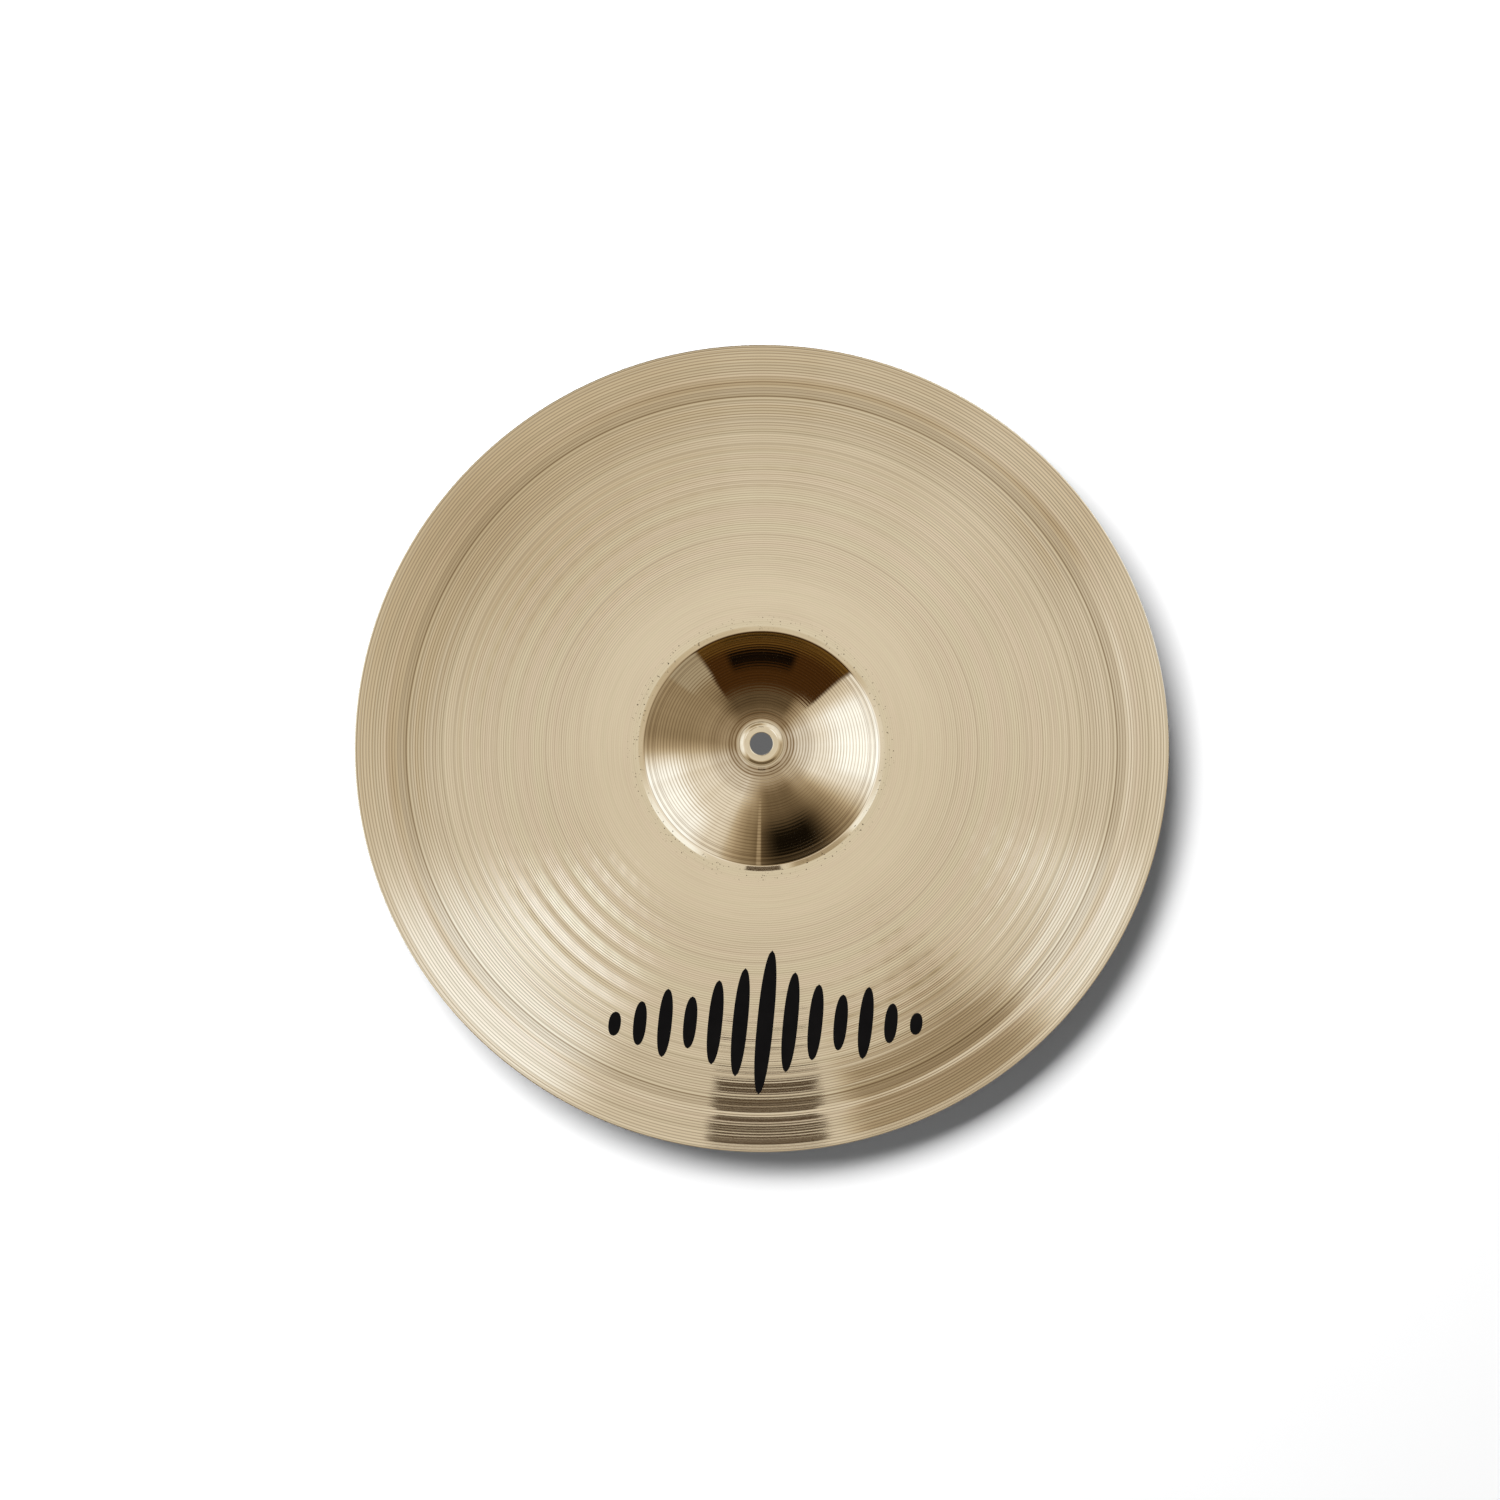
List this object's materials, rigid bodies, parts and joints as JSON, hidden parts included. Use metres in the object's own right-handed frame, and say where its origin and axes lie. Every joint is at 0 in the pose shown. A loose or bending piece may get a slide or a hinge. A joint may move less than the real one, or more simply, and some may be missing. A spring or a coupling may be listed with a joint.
{
  "type": "crash cymbal",
  "caption": "Bowed bronze cymbal plate with a raised bell, a dimpled central rod hole and a thin rounded rim.",
  "frame": {"origin": "centre of the circle that the rim rests on, with the cymbal lying bell up", "axes": "+Z along the rod hole's axis, from the open underside to the crown of the bell; X and Y are alike, and the printed mark is on the underside towards +Y"},
  "size_m": [0.4064, 0.4064, 0.0502],
  "materials": {
    "bronze": "polished, with fine turned grooves and hammer marks",
    "mark_ink": "thin black printing ink on the underside"
  },
  "bodies": {
    "root": {"cymbal": "bronze"}
  },
  "joints": []
}
